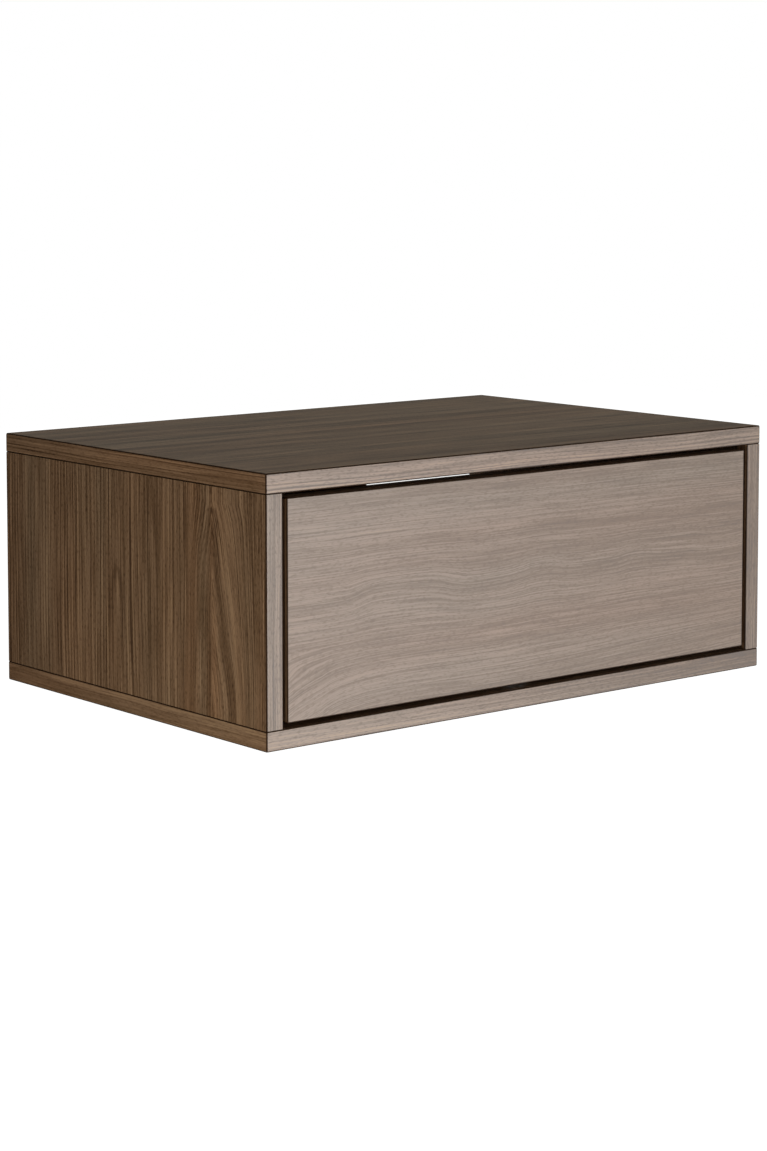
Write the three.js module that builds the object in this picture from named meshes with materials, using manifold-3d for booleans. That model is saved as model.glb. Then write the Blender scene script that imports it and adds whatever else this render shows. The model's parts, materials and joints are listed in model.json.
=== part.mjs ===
// Floating nightstand: a case of boards hung on a wall by a bevelled cleat, with one inset push-to-open drawer.
// Millimetres. +X is to the right seen from the front, the front faces -Y, the wall is the plane Y = 0.
// +Z is up. The origin is the centre of the wall cleat's back face, on the wall.
import * as THREE from 'three';
import { RoundedBoxGeometry } from 'three/addons/geometries/RoundedBoxGeometry.js';
import { mergeVertices } from 'three/addons/utils/BufferGeometryUtils.js';
import Module from 'manifold-3d';

const wasm = await Module();
wasm.setup();

// Carcass boards
const width = 600;
const depth = 407;
const board = 18;
const openingHeight = 200;
const arris = 1.5; // radius of every outer board edge
const seat = 0.1; // gap between faces that are bolted or glued together
const overrun = 2; // how far a cut runs past the face it starts on

// Back panel, set in grooves, low enough to leave a cable gap above it
const backThickness = 6;
const backInset = 20; // from the wall to the panel's rear face
const backOverlap = 13.7; // how far it rises above the wall cleat's lower edge
const grooveDepth = 6;
const grooveClearance = 0.2;

// Bevelled cleats: one on the wall, one under the top
const cleatWidth = 250;
const cleatThickness = 18;
const cabinetCleatRear = 39.6; // height of its flat rear face
const wallCleatRear = 38;
const bevelGap = 0.3; // between the two bevels, measured upright
const wallHoleSpacing = 200;
const wallHoleRadius = 2.5;
const wallSinkRadius = 5;
const wallSinkDepth = 3;

// Cleat screws, up into the top
const cleatScrewSpacing = 200;
const cleatScrewGrip = 17; // cleat wood between the screw head and the top
const cleatScrewBite = 12;
const cleatScrewRadius = 2;
const cleatScrewHeadRadius = 4;
const cleatScrewHeadHeight = 2.4;
const counterboreRadius = 5;

// Cam fittings and dowels at the four board joints
const camInset = 60; // from the front and rear edges
const camSetback = 34; // from the joint to the cam's axis
const camRadius = 7.5;
const camDepth = 12.5;
const camSlotWidth = 1.2;
const camSlotDepth = 2;
const camSlotLength = 11;
const boltThreadRadius = 2.4;
const boltThreadLength = 11;
const boltCollarRadius = 3.6;
const boltCollarHeight = 1.2;
const boltShankRadius = 2.2;
const boltHeadRadius = 3.3;
const boltHeadHeight = 2.6;
const boltBoreRadius = 4;
const dowelRadius = 4;
const dowelLength = 30;
const dowelInBoard = 12;
const dowelChamfer = 1;
const boreClearance = 0.15; // around cams, dowels and screws
const crossShare = 1.1; // of a screw head's radius, the length of its driver recess
const crossBar = 0.9;
const crossDepth = 1.1;

// Drawer
const drawerGap = 4; // around the front
const boxThickness = 12;
const boxBase = 40; // height of the box's lower edge above the cabinet's underside
const boxBelowBack = 13.7; // from the box's top edge up to the back panel's
const boxRearGap = 13; // from the box to the back panel
const boxArris = 1;
const boxFloorRise = 10; // from the box's lower edge to its floor
const boxFloorThickness = 6;
const frontScrewSpacing = 300;
const frontScrewBite = 13;
const frontScrewRadius = 2;
const frontScrewHeadRadius = 4.2;
const frontScrewHeadHeight = 2.4;

// Ball-bearing slides, seen in section: u from the cabinet side inwards, v up from the slide's centre line
const slideSetback = 3.4; // from the drawer front to the slide, a little more than the latch's press
const slideRearGap = 9.6; // from the slide to the back panel
const slideWidth = 12.7;
const slideWall = 1.2;
const rollCorner = 0.8; // across the bends
const cabinetMemberHeight = 45.5;
const cabinetFlange = 9.5; // how far its flanges reach in u
const cabinetLip = 0.9; // how far their edges turn in
const middleMemberHeight = 36.1;
const middleFlangeStart = 2.8;
const middleFlangeEnd = 10.9;
const middleWebStart = 5;
const drawerMemberHeight = 26.7;
const drawerFlange = 4.7; // how far its flanges reach back from its web
const ballRadius = 1.6;
const ballClearance = 0.15;
const cageWall = 0.7;
const outerCageStart = 1.5;
const outerCageReach = 6.5;
const outerBallPlace = 5.4;
const outerCageShare = 0.515; // of the slide's length, as are the next three
const outerCageRearShare = 0.243; // from the rear end to the cage, drawer shut
const innerCageStart = 6.8;
const innerCageReach = 4;
const innerBallPlace = 9.5;
const innerCageShare = 0.43;
const innerCageRearShare = 0.337;
const ballsPerRow = 6;
const windowLength = 34;
const windowHeight = 14;
const windowCount = 3;
const pressTravel = 3; // how far the shut drawer can be pushed in
const stopGap = 0.3;
const stopThickness = 2;
const stopHeight = 16;
const boxSideGap = 0.3; // between the drawer member and the box side
const slideScrewInset = 37;
const slideScrewRadius = 1.8;
const slideScrewHeadRadius = 3.6;
const slideScrewHeadHeight = 1.8;
const slideScrewLength = 11;

// Push latch on the bottom board, and its strike on the drawer front
const latchWidth = 17;
const latchHeight = 18;
const latchRounding = 2;
const latchWallBehind = 3;
const plungerRadius = 4.2;
const plungerClearance = 0.25;
const plungerLength = 65;
const plungerNoseRadius = 3;
const plungerNoseLength = 3;
const tipRadius = 5;
const tipLength = 5;
const tipRounding = 0.8;
const contactGap = 0.3;
const springWire = 0.8;
const springRadius = 2.8;
const springPitch = 2.2;
const springTurns = 7;
const pegRadius = 2.4;
const pegLength = 8;
const pegInset = 14;
const strikeWidth = 24;
const strikeHeight = 13;
const strikeThickness = 1.5;
const strikeRounding = 0.6;

// Facets
const roundSides = 12;
const camSides = 16;
const ballSides = 6;
const ballRings = 4;
const arrisSteps = 2; // on the boards that show
const plainSteps = 1; // on small and hidden pieces
const springSides = 5;
const springSteps = 8; // in each turn

// Heights above the underside, and places along the depth
const bottomTop = board;
const topUnderside = bottomTop + openingHeight;
const height = topUnderside + board;
const front = -depth;
const innerHalfWidth = width / 2 - board;
const wallCleatShoulder = topUnderside - seat - cabinetCleatRear - bevelGap;
const wallCleatTop = wallCleatShoulder + cleatThickness;
const wallCleatBase = wallCleatShoulder - wallCleatRear;
const wallCleatCentre = wallCleatBase + wallCleatRear / 2;
const backRear = -backInset;
const backFront = backRear - backThickness;
const backTop = wallCleatBase + backOverlap;
const frontRear = front + board; // rear face of the drawer front
const boxFrontFace = frontRear + seat;
const boxRearFace = backFront - boxRearGap;
const boxTop = backTop - boxBelowBack;
const boxHalfWidth = innerHalfWidth - slideWidth - seat - boxSideGap;
const boxInnerHalfWidth = boxHalfWidth - boxThickness;
const boxFloorUnderside = boxBase + boxFloorRise;
const slideFrontEnd = frontRear + slideSetback;
const slideRearEnd = backFront - slideRearGap;
const slideLength = slideRearEnd - slideFrontEnd;
const slideHeight = (boxBase + boxTop) / 2; // of its centre line

// Finishes
const walnut = new THREE.MeshStandardMaterial({ color: 0x866c55, roughness: 0.55, metalness: 0 });
const backWalnut = new THREE.MeshStandardMaterial({ color: 0x7c644f, roughness: 0.6, metalness: 0 });
const birchPly = new THREE.MeshStandardMaterial({ color: 0xd2b58c, roughness: 0.6, metalness: 0 });
const cleatPly = new THREE.MeshStandardMaterial({ color: 0xc4a57c, roughness: 0.7, metalness: 0 });
const beech = new THREE.MeshStandardMaterial({ color: 0xc89b6d, roughness: 0.7, metalness: 0 });
const zincSteel = new THREE.MeshStandardMaterial({ color: 0xb4b7ba, roughness: 0.35, metalness: 1 });
const castZinc = new THREE.MeshStandardMaterial({ color: 0x9b9da0, roughness: 0.45, metalness: 1 });
const bearingSteel = new THREE.MeshStandardMaterial({ color: 0xd5d6d8, roughness: 0.15, metalness: 1 });
const greyPlastic = new THREE.MeshStandardMaterial({ color: 0x77787a, roughness: 0.5, metalness: 0 });
const blackRubber = new THREE.MeshStandardMaterial({ color: 0x1c1c1d, roughness: 0.8, metalness: 0 });

const cabinet = new THREE.Group();
cabinet.position.z = -wallCleatCentre;
const part = new THREE.Group();
part.add(cabinet);

// Solids

function solidOf(geometry) {
  const bare = geometry.index ? geometry.toNonIndexed() : geometry.clone();
  bare.deleteAttribute('normal');
  bare.deleteAttribute('uv');
  const merged = mergeVertices(bare);
  return new wasm.Manifold(new wasm.Mesh({
    numProp: 3,
    vertProperties: merged.attributes.position.array,
    triVerts: new Uint32Array(merged.index.array),
  }));
}

function geometryOf(solid) {
  const mesh = solid.getMesh();
  const geometry = new THREE.BufferGeometry();
  geometry.setAttribute('position', new THREE.BufferAttribute(mesh.vertProperties, 3));
  geometry.setIndex(new THREE.BufferAttribute(mesh.triVerts, 1));
  geometry.computeVertexNormals();
  return geometry;
}

function cut(geometry, cutters) {
  return geometryOf(cutters.reduce((solid, cutter) => solid.subtract(solidOf(cutter)), solidOf(geometry)));
}

function join(geometries) {
  return geometryOf(geometries.map(solidOf).reduce((whole, piece) => whole.add(piece)));
}

// A box between two corners.
function block(low, high) {
  const [sizeX, sizeY, sizeZ] = high.map((end, i) => end - low[i]);
  const [x, y, z] = high.map((end, i) => (end + low[i]) / 2);
  return new THREE.BoxGeometry(sizeX, sizeY, sizeZ).translate(x, y, z);
}

function roundedBlock(low, high, radius, steps) {
  const [sizeX, sizeY, sizeZ] = high.map((end, i) => end - low[i]);
  const [x, y, z] = high.map((end, i) => (end + low[i]) / 2);
  return new RoundedBoxGeometry(sizeX, sizeY, sizeZ, steps, radius).translate(x, y, z);
}

// A shape turned about +Z from [radius, height] pairs, which start and end on the axis.
function turned(profile, sides = roundSides) {
  const points = profile.map(([radius, along]) => new THREE.Vector2(radius, along));
  return new THREE.LatheGeometry(points, sides).rotateX(Math.PI / 2);
}

function rod(radius, from, to, sides = roundSides) {
  return turned([[0, from], [radius, from], [radius, to], [0, to]], sides);
}

// The radius of a bore whose flats clear a round piece of the same number of sides.
function boreRadius(radius, sides = roundSides) {
  return (radius + boreClearance) / Math.cos(Math.PI / sides);
}

const upright = new THREE.Euler(0, 0, 0);
const upsideDown = new THREE.Euler(Math.PI, 0, 0);
const alongX = new THREE.Euler(0, Math.PI / 2, 0);
const againstX = new THREE.Euler(0, -Math.PI / 2, 0);
const alongY = new THREE.Euler(-Math.PI / 2, 0, 0);
const againstY = new THREE.Euler(Math.PI / 2, 0, 0);

// A copy of a geometry, turned and moved as a mesh would be, for use as a cutter.
function placed(geometry, position, rotation = upright) {
  const matrix = new THREE.Matrix4().makeRotationFromEuler(rotation);
  matrix.setPosition(...position);
  return geometry.clone().applyMatrix4(matrix);
}

function addPiece(name, geometry, material, position = [0, 0, 0], rotation = upright) {
  const mesh = new THREE.Mesh(geometry, material);
  mesh.name = name;
  mesh.position.set(...position);
  mesh.rotation.copy(rotation);
  cabinet.add(mesh);
}

// Board joints: two cams, two cam bolts and a dowel at each, the bolts screwed into the top or bottom board

const jointSides = [{ side: 'left', sign: -1 }, { side: 'right', sign: 1 }];
const jointEnds = [
  { end: 'bottom', plane: bottomTop, up: 1, turn: upright },
  { end: 'top', plane: topUnderside, up: -1, turn: upsideDown },
];
const camPlaces = [{ where: 'front', y: front + camInset }, { where: 'rear', y: -camInset }];
const jointX = width / 2 - board / 2;

// The bolt's local zero is the joint plane, and it points from the cross board into the side.
const boltGeometry = turned([
  [0, -boltThreadLength],
  [boltThreadRadius, -boltThreadLength],
  [boltThreadRadius, 0],
  [boltCollarRadius, 0],
  [boltCollarRadius, boltCollarHeight],
  [boltShankRadius, boltCollarHeight],
  [boltShankRadius, camSetback - boltHeadHeight / 2],
  [boltHeadRadius, camSetback - boltHeadHeight / 2],
  [boltHeadRadius, camSetback + boltHeadHeight / 2],
  [0, camSetback + boltHeadHeight / 2],
]);
const boltEnd = camSetback + boltHeadHeight / 2;
const boltBore = rod(boltBoreRadius, -overrun, boltEnd);
const boltThreadBore = rod(boreRadius(boltThreadRadius), -boltThreadLength - seat, overrun);
const camBore = rod(boreRadius(camRadius, camSides), 0, camDepth + seat + overrun, camSides);
const dowelBore = rod(boreRadius(dowelRadius), -dowelInBoard - seat, dowelLength - dowelInBoard + seat);
const dowelGeometry = turned([
  [0, -dowelInBoard],
  [dowelRadius - dowelChamfer, -dowelInBoard],
  [dowelRadius, dowelChamfer - dowelInBoard],
  [dowelRadius, dowelLength - dowelInBoard - dowelChamfer],
  [dowelRadius - dowelChamfer, dowelLength - dowelInBoard],
  [0, dowelLength - dowelInBoard],
]);

// Two crossed bars that cut a driver recess into a head whose face is at local zero.
function driverCross(length, bar, recess, rotation = upright) {
  const flat = block([-length / 2, -bar / 2, -recess], [length / 2, bar / 2, recess]);
  const tall = block([-bar / 2, -length / 2, -recess], [bar / 2, length / 2, recess]);
  return [flat, tall].map((geometry) => placed(geometry, [0, 0, 0], rotation));
}

// A cam faces the inside of the cabinet, has a driver recess, and is open towards its bolt.
function camGeometry(sign, up) {
  const disc = placed(rod(camRadius, 0, camDepth, camSides), [0, 0, 0], sign > 0 ? alongX : againstX);
  const depthOfBolt = sign * (jointX - innerHalfWidth);
  const throat = placed(rod(boltBoreRadius, -camSetback, boltHeadHeight), [depthOfBolt, 0, 0],
    up > 0 ? upright : upsideDown);
  return cut(disc, [throat, ...driverCross(camSlotLength, camSlotWidth, camSlotDepth, alongX)]);
}

const sideCutters = { left: [], right: [] };
const crossCutters = { bottom: [], top: [] };
for (const { side, sign } of jointSides) {
  for (const { end, plane, up, turn } of jointEnds) {
    const camZ = plane + up * camSetback;
    for (const { where, y } of camPlaces) {
      const boltPlace = [sign * jointX, y, plane];
      const camPlace = [sign * innerHalfWidth, y, camZ];
      addPiece(`cam_bolt_${side}_${end}_${where}`, boltGeometry, zincSteel, boltPlace, turn);
      addPiece(`cam_${side}_${end}_${where}`, camGeometry(sign, up), castZinc, camPlace);
      crossCutters[end].push(placed(boltThreadBore, boltPlace, turn));
      sideCutters[side].push(placed(boltBore, boltPlace, turn));
      const boreMouth = [sign * (innerHalfWidth - overrun), y, camZ];
      sideCutters[side].push(placed(camBore, boreMouth, sign > 0 ? alongX : againstX));
    }
    const dowelPlace = [sign * jointX, front / 2, plane];
    addPiece(`dowel_${side}_${end}`, dowelGeometry, beech, dowelPlace, turn);
    crossCutters[end].push(placed(dowelBore, dowelPlace, turn));
    sideCutters[side].push(placed(dowelBore, dowelPlace, turn));
  }
}

// Countersunk screw with its head's face at local zero, pointing along +Z

function countersunkScrew(radius, headRadius, headHeight, length) {
  const body = turned([
    [0, 0],
    [headRadius, 0],
    [radius, headHeight],
    [radius, length - radius],
    [0, length],
  ]);
  return cut(body, driverCross(headRadius * crossShare, crossBar, crossDepth));
}

function countersunkBore(radius, headRadius, headHeight, length) {
  const slope = headRadius - radius;
  return turned([
    [0, -overrun],
    [boreRadius(headRadius), -overrun],
    [boreRadius(headRadius), boreClearance],
    [boreRadius(headRadius - slope), headHeight + boreClearance],
    [boreRadius(radius), length + seat],
    [0, length + seat],
  ]);
}

// Pan-head screw with the underside of its head at local zero, pointing along +Z
function panHeadScrew(radius, headRadius, headHeight, length) {
  const body = turned([
    [0, -headHeight],
    [headRadius / 2, -headHeight],
    [headRadius, -headHeight / 2],
    [headRadius, 0],
    [radius, 0],
    [radius, length - radius],
    [0, length],
  ]);
  const recess = driverCross(headRadius * crossShare, crossBar, crossDepth);
  return cut(body, recess.map((bar) => bar.translate(0, 0, -headHeight)));
}

// Back panel, in grooves of the sides and the bottom

const backHalfWidth = innerHalfWidth + grooveDepth - grooveClearance;
const backGroove = block(
  [-innerHalfWidth - grooveDepth, backFront - grooveClearance, bottomTop - grooveDepth],
  [innerHalfWidth + grooveDepth, backRear + grooveClearance, backTop + grooveClearance],
);
addPiece('back_panel', block(
  [-backHalfWidth, backFront, bottomTop - grooveDepth + grooveClearance],
  [backHalfWidth, backRear, backTop],
), backWalnut);

// Cleats: each is a straight length of board with a 45 degree bevel

function cleatGeometry(outline) {
  const shape = new THREE.Shape(outline.map(([y, z]) => new THREE.Vector2(y, z)));
  const along = new THREE.ExtrudeGeometry(shape, { depth: cleatWidth, bevelEnabled: false });
  return along.rotateX(Math.PI / 2).rotateZ(Math.PI / 2).translate(-cleatWidth / 2, 0, 0);
}

const wallScrewHole = turned([
  [0, -overrun],
  [wallSinkRadius, -overrun],
  [wallSinkRadius, 0],
  [wallHoleRadius, wallSinkDepth],
  [wallHoleRadius, cleatThickness + overrun],
  [0, cleatThickness + overrun],
]);
const wallHoles = [-1, 1].map((sign) => placed(wallScrewHole,
  [sign * wallHoleSpacing / 2, -cleatThickness, wallCleatCentre], alongY));
addPiece('wall_cleat', cut(cleatGeometry([
  [0, wallCleatBase],
  [0, wallCleatShoulder],
  [-cleatThickness, wallCleatTop],
  [-cleatThickness, wallCleatBase],
]), wallHoles), cleatPly);

const cleatScrewHead = topUnderside - cleatScrewGrip;
const cleatScrewPlaces = jointSides.map(({ side, sign }) => (
  { side, place: [sign * cleatScrewSpacing / 2, -cleatThickness / 2, cleatScrewHead] }));
const cleatScrewLength = cleatScrewGrip + cleatScrewBite;
const cleatScrewBore = join([
  rod(boreRadius(cleatScrewRadius), -overrun, cleatScrewLength + seat),
  rod(counterboreRadius, -cleatThickness * 2, 0),
]);
const cleatScrewCutters = cleatScrewPlaces.map(({ place }) => placed(cleatScrewBore, place));
const cleatScrewGeometry = panHeadScrew(
  cleatScrewRadius, cleatScrewHeadRadius, cleatScrewHeadHeight, cleatScrewLength);
addPiece('cabinet_cleat', cut(cleatGeometry([
  [0, wallCleatShoulder + bevelGap],
  [0, topUnderside - seat],
  [-cleatThickness, topUnderside - seat],
  [-cleatThickness, wallCleatTop + bevelGap],
]), cleatScrewCutters), cleatPly);
for (const { side, place } of cleatScrewPlaces) {
  const [x, y, z] = place;
  addPiece(`cleat_screw_${side}`, cleatScrewGeometry, zincSteel, [x, y, z - seat]);
}

// Slides

// A straight length with the section [u, v], from the rear end forwards. The sign turns u towards the middle.
function slideProfile(section, sign, length, rear) {
  const shape = new THREE.Shape(section.map(([u, v]) => new THREE.Vector2(-sign * u, v)));
  const along = new THREE.ExtrudeGeometry(shape, { depth: length, bevelEnabled: false });
  return along.rotateX(Math.PI / 2).translate(0, rear, 0);
}

// Half of a channel section mirrored about its centre line.
function symmetricSection(half) {
  const lower = half.map(([u, v]) => [u, -v]).reverse();
  return [...half, ...lower];
}

const cabinetHalf = cabinetMemberHeight / 2;
const cabinetSection = symmetricSection([
  [0, cabinetHalf - rollCorner],
  [rollCorner, cabinetHalf],
  [cabinetFlange, cabinetHalf],
  [cabinetFlange, cabinetHalf - slideWall - cabinetLip],
  [cabinetFlange - slideWall, cabinetHalf - slideWall - cabinetLip],
  [cabinetFlange - slideWall, cabinetHalf - slideWall],
  [slideWall, cabinetHalf - slideWall],
]);
const middleHalf = middleMemberHeight / 2;
const middleWebEnd = middleWebStart + slideWall;
const middleSection = symmetricSection([
  [middleWebStart, middleHalf - slideWall],
  [middleFlangeStart, middleHalf - slideWall],
  [middleFlangeStart, middleHalf],
  [middleFlangeEnd, middleHalf],
  [middleFlangeEnd, middleHalf - slideWall],
  [middleWebEnd + rollCorner, middleHalf - slideWall],
  [middleWebEnd, middleHalf - slideWall - rollCorner],
]);
const drawerHalf = drawerMemberHeight / 2;
const drawerSection = symmetricSection([
  [slideWidth, drawerHalf - rollCorner],
  [slideWidth - rollCorner, drawerHalf],
  [slideWidth - drawerFlange, drawerHalf],
  [slideWidth - drawerFlange, drawerHalf - slideWall],
  [slideWidth - slideWall, drawerHalf - slideWall],
]);

// A cage is a thin channel with a row of balls set in each leg.
function cageGeometry(sign, start, reach, ballPlace, ballRow, length, rear) {
  const legTop = ballRow + cageWall / 2;
  const section = symmetricSection([
    [start, legTop],
    [start + reach, legTop],
    [start + reach, legTop - cageWall],
    [start + cageWall, legTop - cageWall],
  ]);
  const pieces = [slideProfile(section, sign, length, rear)];
  const pitch = length / ballsPerRow;
  const ball = new THREE.SphereGeometry(ballRadius, ballSides, ballRings);
  for (let i = 0; i < ballsPerRow; i += 1) {
    for (const up of [-1, 1]) {
      pieces.push(placed(ball, [-sign * ballPlace, rear - pitch * (i + 0.5), up * ballRow]));
    }
  }
  return join(pieces);
}

const slideScrewPlaces = [
  { where: 'front', y: slideFrontEnd + slideScrewInset },
  { where: 'rear', y: slideRearEnd - slideScrewInset },
];
const slideScrewGeometry = countersunkScrew(
  slideScrewRadius, slideScrewHeadRadius, slideScrewHeadHeight, slideScrewLength);
const slideScrewBore = countersunkBore(
  slideScrewRadius, slideScrewHeadRadius, slideScrewHeadHeight, slideScrewLength);
const boxSideCutters = { left: [], right: [] };
const outerBallRow = middleHalf + ballClearance + ballRadius;
const innerBallRow = drawerHalf + ballClearance + ballRadius;
const stopRear = slideRearEnd + pressTravel + stopGap + stopThickness;

for (const { side, sign } of jointSides) {
  const outward = sign > 0 ? alongX : againstX;
  const inward = sign > 0 ? againstX : alongX;
  const slidePlace = [sign * (innerHalfWidth - seat), 0, slideHeight];
  const webFaceX = sign * (innerHalfWidth - seat - slideWall);
  const drawerWebFaceX = sign * (innerHalfWidth - seat - slideWidth + slideWall);
  const bores = [];
  const drawerBores = [];
  for (const { where, y } of slideScrewPlaces) {
    const cabinetScrewPlace = [webFaceX, y, slideHeight];
    const drawerScrewPlace = [drawerWebFaceX, y, slideHeight];
    const ofCabinet = `slide_screw_cabinet_${side}_${where}`;
    const ofDrawer = `slide_screw_drawer_${side}_${where}`;
    addPiece(ofCabinet, slideScrewGeometry, zincSteel, cabinetScrewPlace, outward);
    addPiece(ofDrawer, slideScrewGeometry, zincSteel, drawerScrewPlace, inward);
    sideCutters[side].push(placed(slideScrewBore, cabinetScrewPlace, outward));
    boxSideCutters[side].push(placed(slideScrewBore, drawerScrewPlace, inward));
    bores.push(placed(slideScrewBore, [-sign * slideWall, y, 0], outward));
    drawerBores.push(placed(slideScrewBore, [-sign * (slideWidth - slideWall), y, 0], inward));
  }
  const stop = slideProfile([
    [0, stopHeight / 2],
    [middleFlangeEnd, stopHeight / 2],
    [middleFlangeEnd, -stopHeight / 2],
    [0, -stopHeight / 2],
  ], sign, stopThickness, stopRear);
  const cabinetMember = slideProfile(cabinetSection, sign, stopRear - slideFrontEnd, stopRear);
  addPiece(`slide_cabinet_member_${side}`, cut(join([cabinetMember, stop]), bores), zincSteel, slidePlace);

  const windows = [];
  const windowPitch = slideLength / windowCount;
  for (let i = 0; i < windowCount; i += 1) {
    const middle = slideRearEnd - windowPitch * (i + 0.5);
    windows.push(block(
      [-slideWidth, middle - windowLength / 2, -windowHeight / 2],
      [slideWidth, middle + windowLength / 2, windowHeight / 2],
    ));
  }
  const middleMember = slideProfile(middleSection, sign, slideLength, slideRearEnd);
  addPiece(`slide_middle_member_${side}`, cut(middleMember, windows), zincSteel, slidePlace);

  const drawerMember = slideProfile(drawerSection, sign, slideLength, slideRearEnd);
  addPiece(`slide_drawer_member_${side}`, cut(drawerMember, drawerBores), zincSteel, slidePlace);

  const outerCage = cageGeometry(sign, outerCageStart, outerCageReach, outerBallPlace, outerBallRow,
    outerCageShare * slideLength, slideRearEnd - outerCageRearShare * slideLength);
  addPiece(`slide_outer_cage_${side}`, outerCage, bearingSteel, slidePlace);
  const innerCage = cageGeometry(sign, innerCageStart, innerCageReach, innerBallPlace, innerBallRow,
    innerCageShare * slideLength, slideRearEnd - innerCageRearShare * slideLength);
  addPiece(`slide_inner_cage_${side}`, innerCage, bearingSteel, slidePlace);
}

// Drawer: an inset front on a box with a grooved floor

const frontHalfWidth = innerHalfWidth - drawerGap;
const frontBase = bottomTop + drawerGap;
const frontTop = topUnderside - drawerGap;
const boxFrontRear = boxFrontFace + boxThickness;
const boxBackFront = boxRearFace - boxThickness;
const boxFloorReach = grooveDepth - grooveClearance;
const floorGroove = block(
  [-boxInnerHalfWidth - grooveDepth, boxFrontRear - grooveDepth, boxFloorUnderside - grooveClearance],
  [boxInnerHalfWidth + grooveDepth, boxBackFront + grooveDepth,
    boxFloorUnderside + boxFloorThickness + grooveClearance],
);
const frontScrewLength = boxThickness + seat + frontScrewBite;
const frontScrewGeometry = panHeadScrew(
  frontScrewRadius, frontScrewHeadRadius, frontScrewHeadHeight, frontScrewLength);
const frontScrewBore = rod(boreRadius(frontScrewRadius), -overrun, frontScrewLength + seat);
const frontScrewPlaces = jointSides.map(({ side, sign }) => (
  { side, place: [sign * frontScrewSpacing / 2, boxFrontRear, slideHeight] }));
const frontScrewCutters = frontScrewPlaces.map(({ place }) => placed(frontScrewBore, place, againstY));
for (const { side, place } of frontScrewPlaces) {
  const [x, y, z] = place;
  addPiece(`drawer_front_screw_${side}`, frontScrewGeometry, zincSteel, [x, y + seat, z], againstY);
}

addPiece('drawer_front', cut(roundedBlock(
  [-frontHalfWidth, front, frontBase],
  [frontHalfWidth, frontRear, frontTop],
  arris,
  arrisSteps,
), frontScrewCutters), walnut);
addPiece('drawer_box_front', cut(block(
  [-boxInnerHalfWidth + seat, boxFrontFace, boxBase],
  [boxInnerHalfWidth - seat, boxFrontRear, boxTop],
), [floorGroove, ...frontScrewCutters]), birchPly);
addPiece('drawer_box_back', cut(block(
  [-boxInnerHalfWidth + seat, boxBackFront, boxBase],
  [boxInnerHalfWidth - seat, boxRearFace, boxTop],
), [floorGroove]), birchPly);
for (const { side, sign } of jointSides) {
  const inner = sign * boxInnerHalfWidth;
  const outer = sign * boxHalfWidth;
  addPiece(`drawer_box_side_${side}`, cut(roundedBlock(
    [Math.min(inner, outer), boxFrontFace, boxBase],
    [Math.max(inner, outer), boxRearFace, boxTop],
    boxArris,
    plainSteps,
  ), [floorGroove, ...boxSideCutters[side]]), birchPly);
}
addPiece('drawer_box_floor', block(
  [-boxInnerHalfWidth - boxFloorReach, boxFrontRear - boxFloorReach, boxFloorUnderside],
  [boxInnerHalfWidth + boxFloorReach, boxBackFront + boxFloorReach, boxFloorUnderside + boxFloorThickness],
), birchPly);

// Push latch

const latchAxis = bottomTop + seat + latchHeight / 2;
const strikeRear = frontRear + seat + strikeThickness;
const tipFront = strikeRear + contactGap;
const plungerFront = tipFront + tipLength;
const plungerRear = plungerFront + plungerLength;
const springLength = springPitch * springTurns;
const springReach = springLength + springWire;
const latchBoreEnd = plungerRear + contactGap + springReach + contactGap;
const latchFront = plungerFront + pressTravel + contactGap;
const latchRear = latchBoreEnd + latchWallBehind;
const latchBoreRadius = (plungerRadius + plungerClearance) / Math.cos(Math.PI / roundSides);

addPiece('latch_strike', roundedBlock(
  [-strikeWidth / 2, frontRear + seat, latchAxis - strikeHeight / 2],
  [strikeWidth / 2, strikeRear, latchAxis + strikeHeight / 2],
  strikeRounding,
  plainSteps,
), zincSteel);

const pegs = [latchFront + pegInset, latchRear - pegInset].map((y) => [0, y, bottomTop - pegLength]);
const pegTop = pegLength + latchHeight / 4;
const housingBody = roundedBlock(
  [-latchWidth / 2, latchFront, bottomTop + seat],
  [latchWidth / 2, latchRear, bottomTop + seat + latchHeight],
  latchRounding,
  plainSteps,
);
const latchBore = placed(
  rod(latchBoreRadius, -overrun, latchBoreEnd - latchFront), [0, latchFront, latchAxis], alongY);
const pegSolids = pegs.map((place) => placed(rod(pegRadius, 0, pegTop), place));
addPiece('latch_housing', cut(join([housingBody, ...pegSolids]), [latchBore]), greyPlastic);
for (const [x, y, z] of pegs) {
  crossCutters.bottom.push(placed(rod(boreRadius(pegRadius), -seat, pegTop), [x, y, z]));
}

addPiece('latch_plunger', turned([
  [0, -plungerNoseLength],
  [plungerNoseRadius, -plungerNoseLength],
  [plungerNoseRadius, 0],
  [plungerRadius, 0],
  [plungerRadius, plungerLength],
  [0, plungerLength],
]), greyPlastic, [0, plungerFront, latchAxis], alongY);

addPiece('latch_tip', turned([
  [0, 0],
  [tipRadius - tipRounding, 0],
  [tipRadius, tipRounding],
  [tipRadius, tipLength - seat],
  [boreRadius(plungerNoseRadius), tipLength - seat],
  [boreRadius(plungerNoseRadius), tipLength - plungerNoseLength - seat],
  [0, tipLength - plungerNoseLength - seat],
]), blackRubber, [0, tipFront, latchAxis], alongY);

class Helix extends THREE.Curve {
  getPoint(t, target = new THREE.Vector3()) {
    const angle = 2 * Math.PI * springTurns * t;
    return target.set(springRadius * Math.cos(angle), springRadius * Math.sin(angle), springLength * t);
  }
}

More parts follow.
